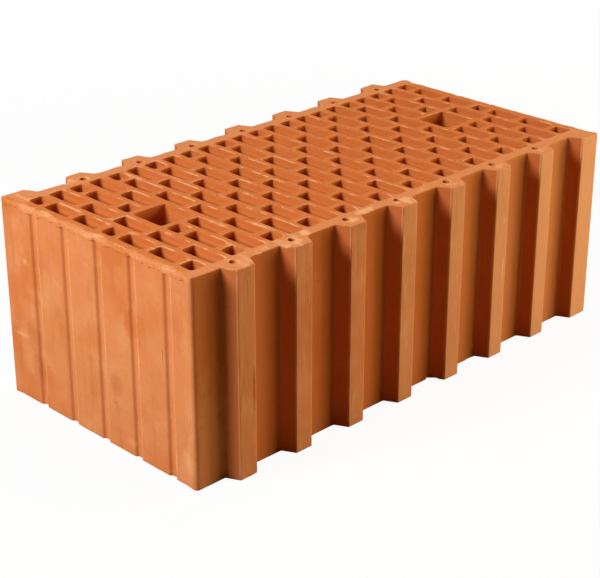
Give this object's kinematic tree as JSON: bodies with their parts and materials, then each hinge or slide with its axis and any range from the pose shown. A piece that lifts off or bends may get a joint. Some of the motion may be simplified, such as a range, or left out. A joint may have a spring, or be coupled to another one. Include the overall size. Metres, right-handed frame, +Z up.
{
  "type": "clay brick",
  "caption": "Large hollow fired-clay brick with rows of upright slots, two grip holes and tongues and grooves along both long sides, laid dry side to side in thick walls.",
  "frame": {"origin": "centre of the brick's box on its lower bed face, the plane it lies on", "axes": "+X along the length from end face to end face, +Y across the tongue sides, +Z up along the slots; the side at -Y starts with a recess at the -X end"},
  "size_m": [0.51, 0.2624, 0.19],
  "materials": {
    "fired_clay": "unglazed orange fired clay, matt, with faint extrusion streaks"
  },
  "bodies": {
    "root": {"brick": "fired_clay"}
  },
  "joints": []
}
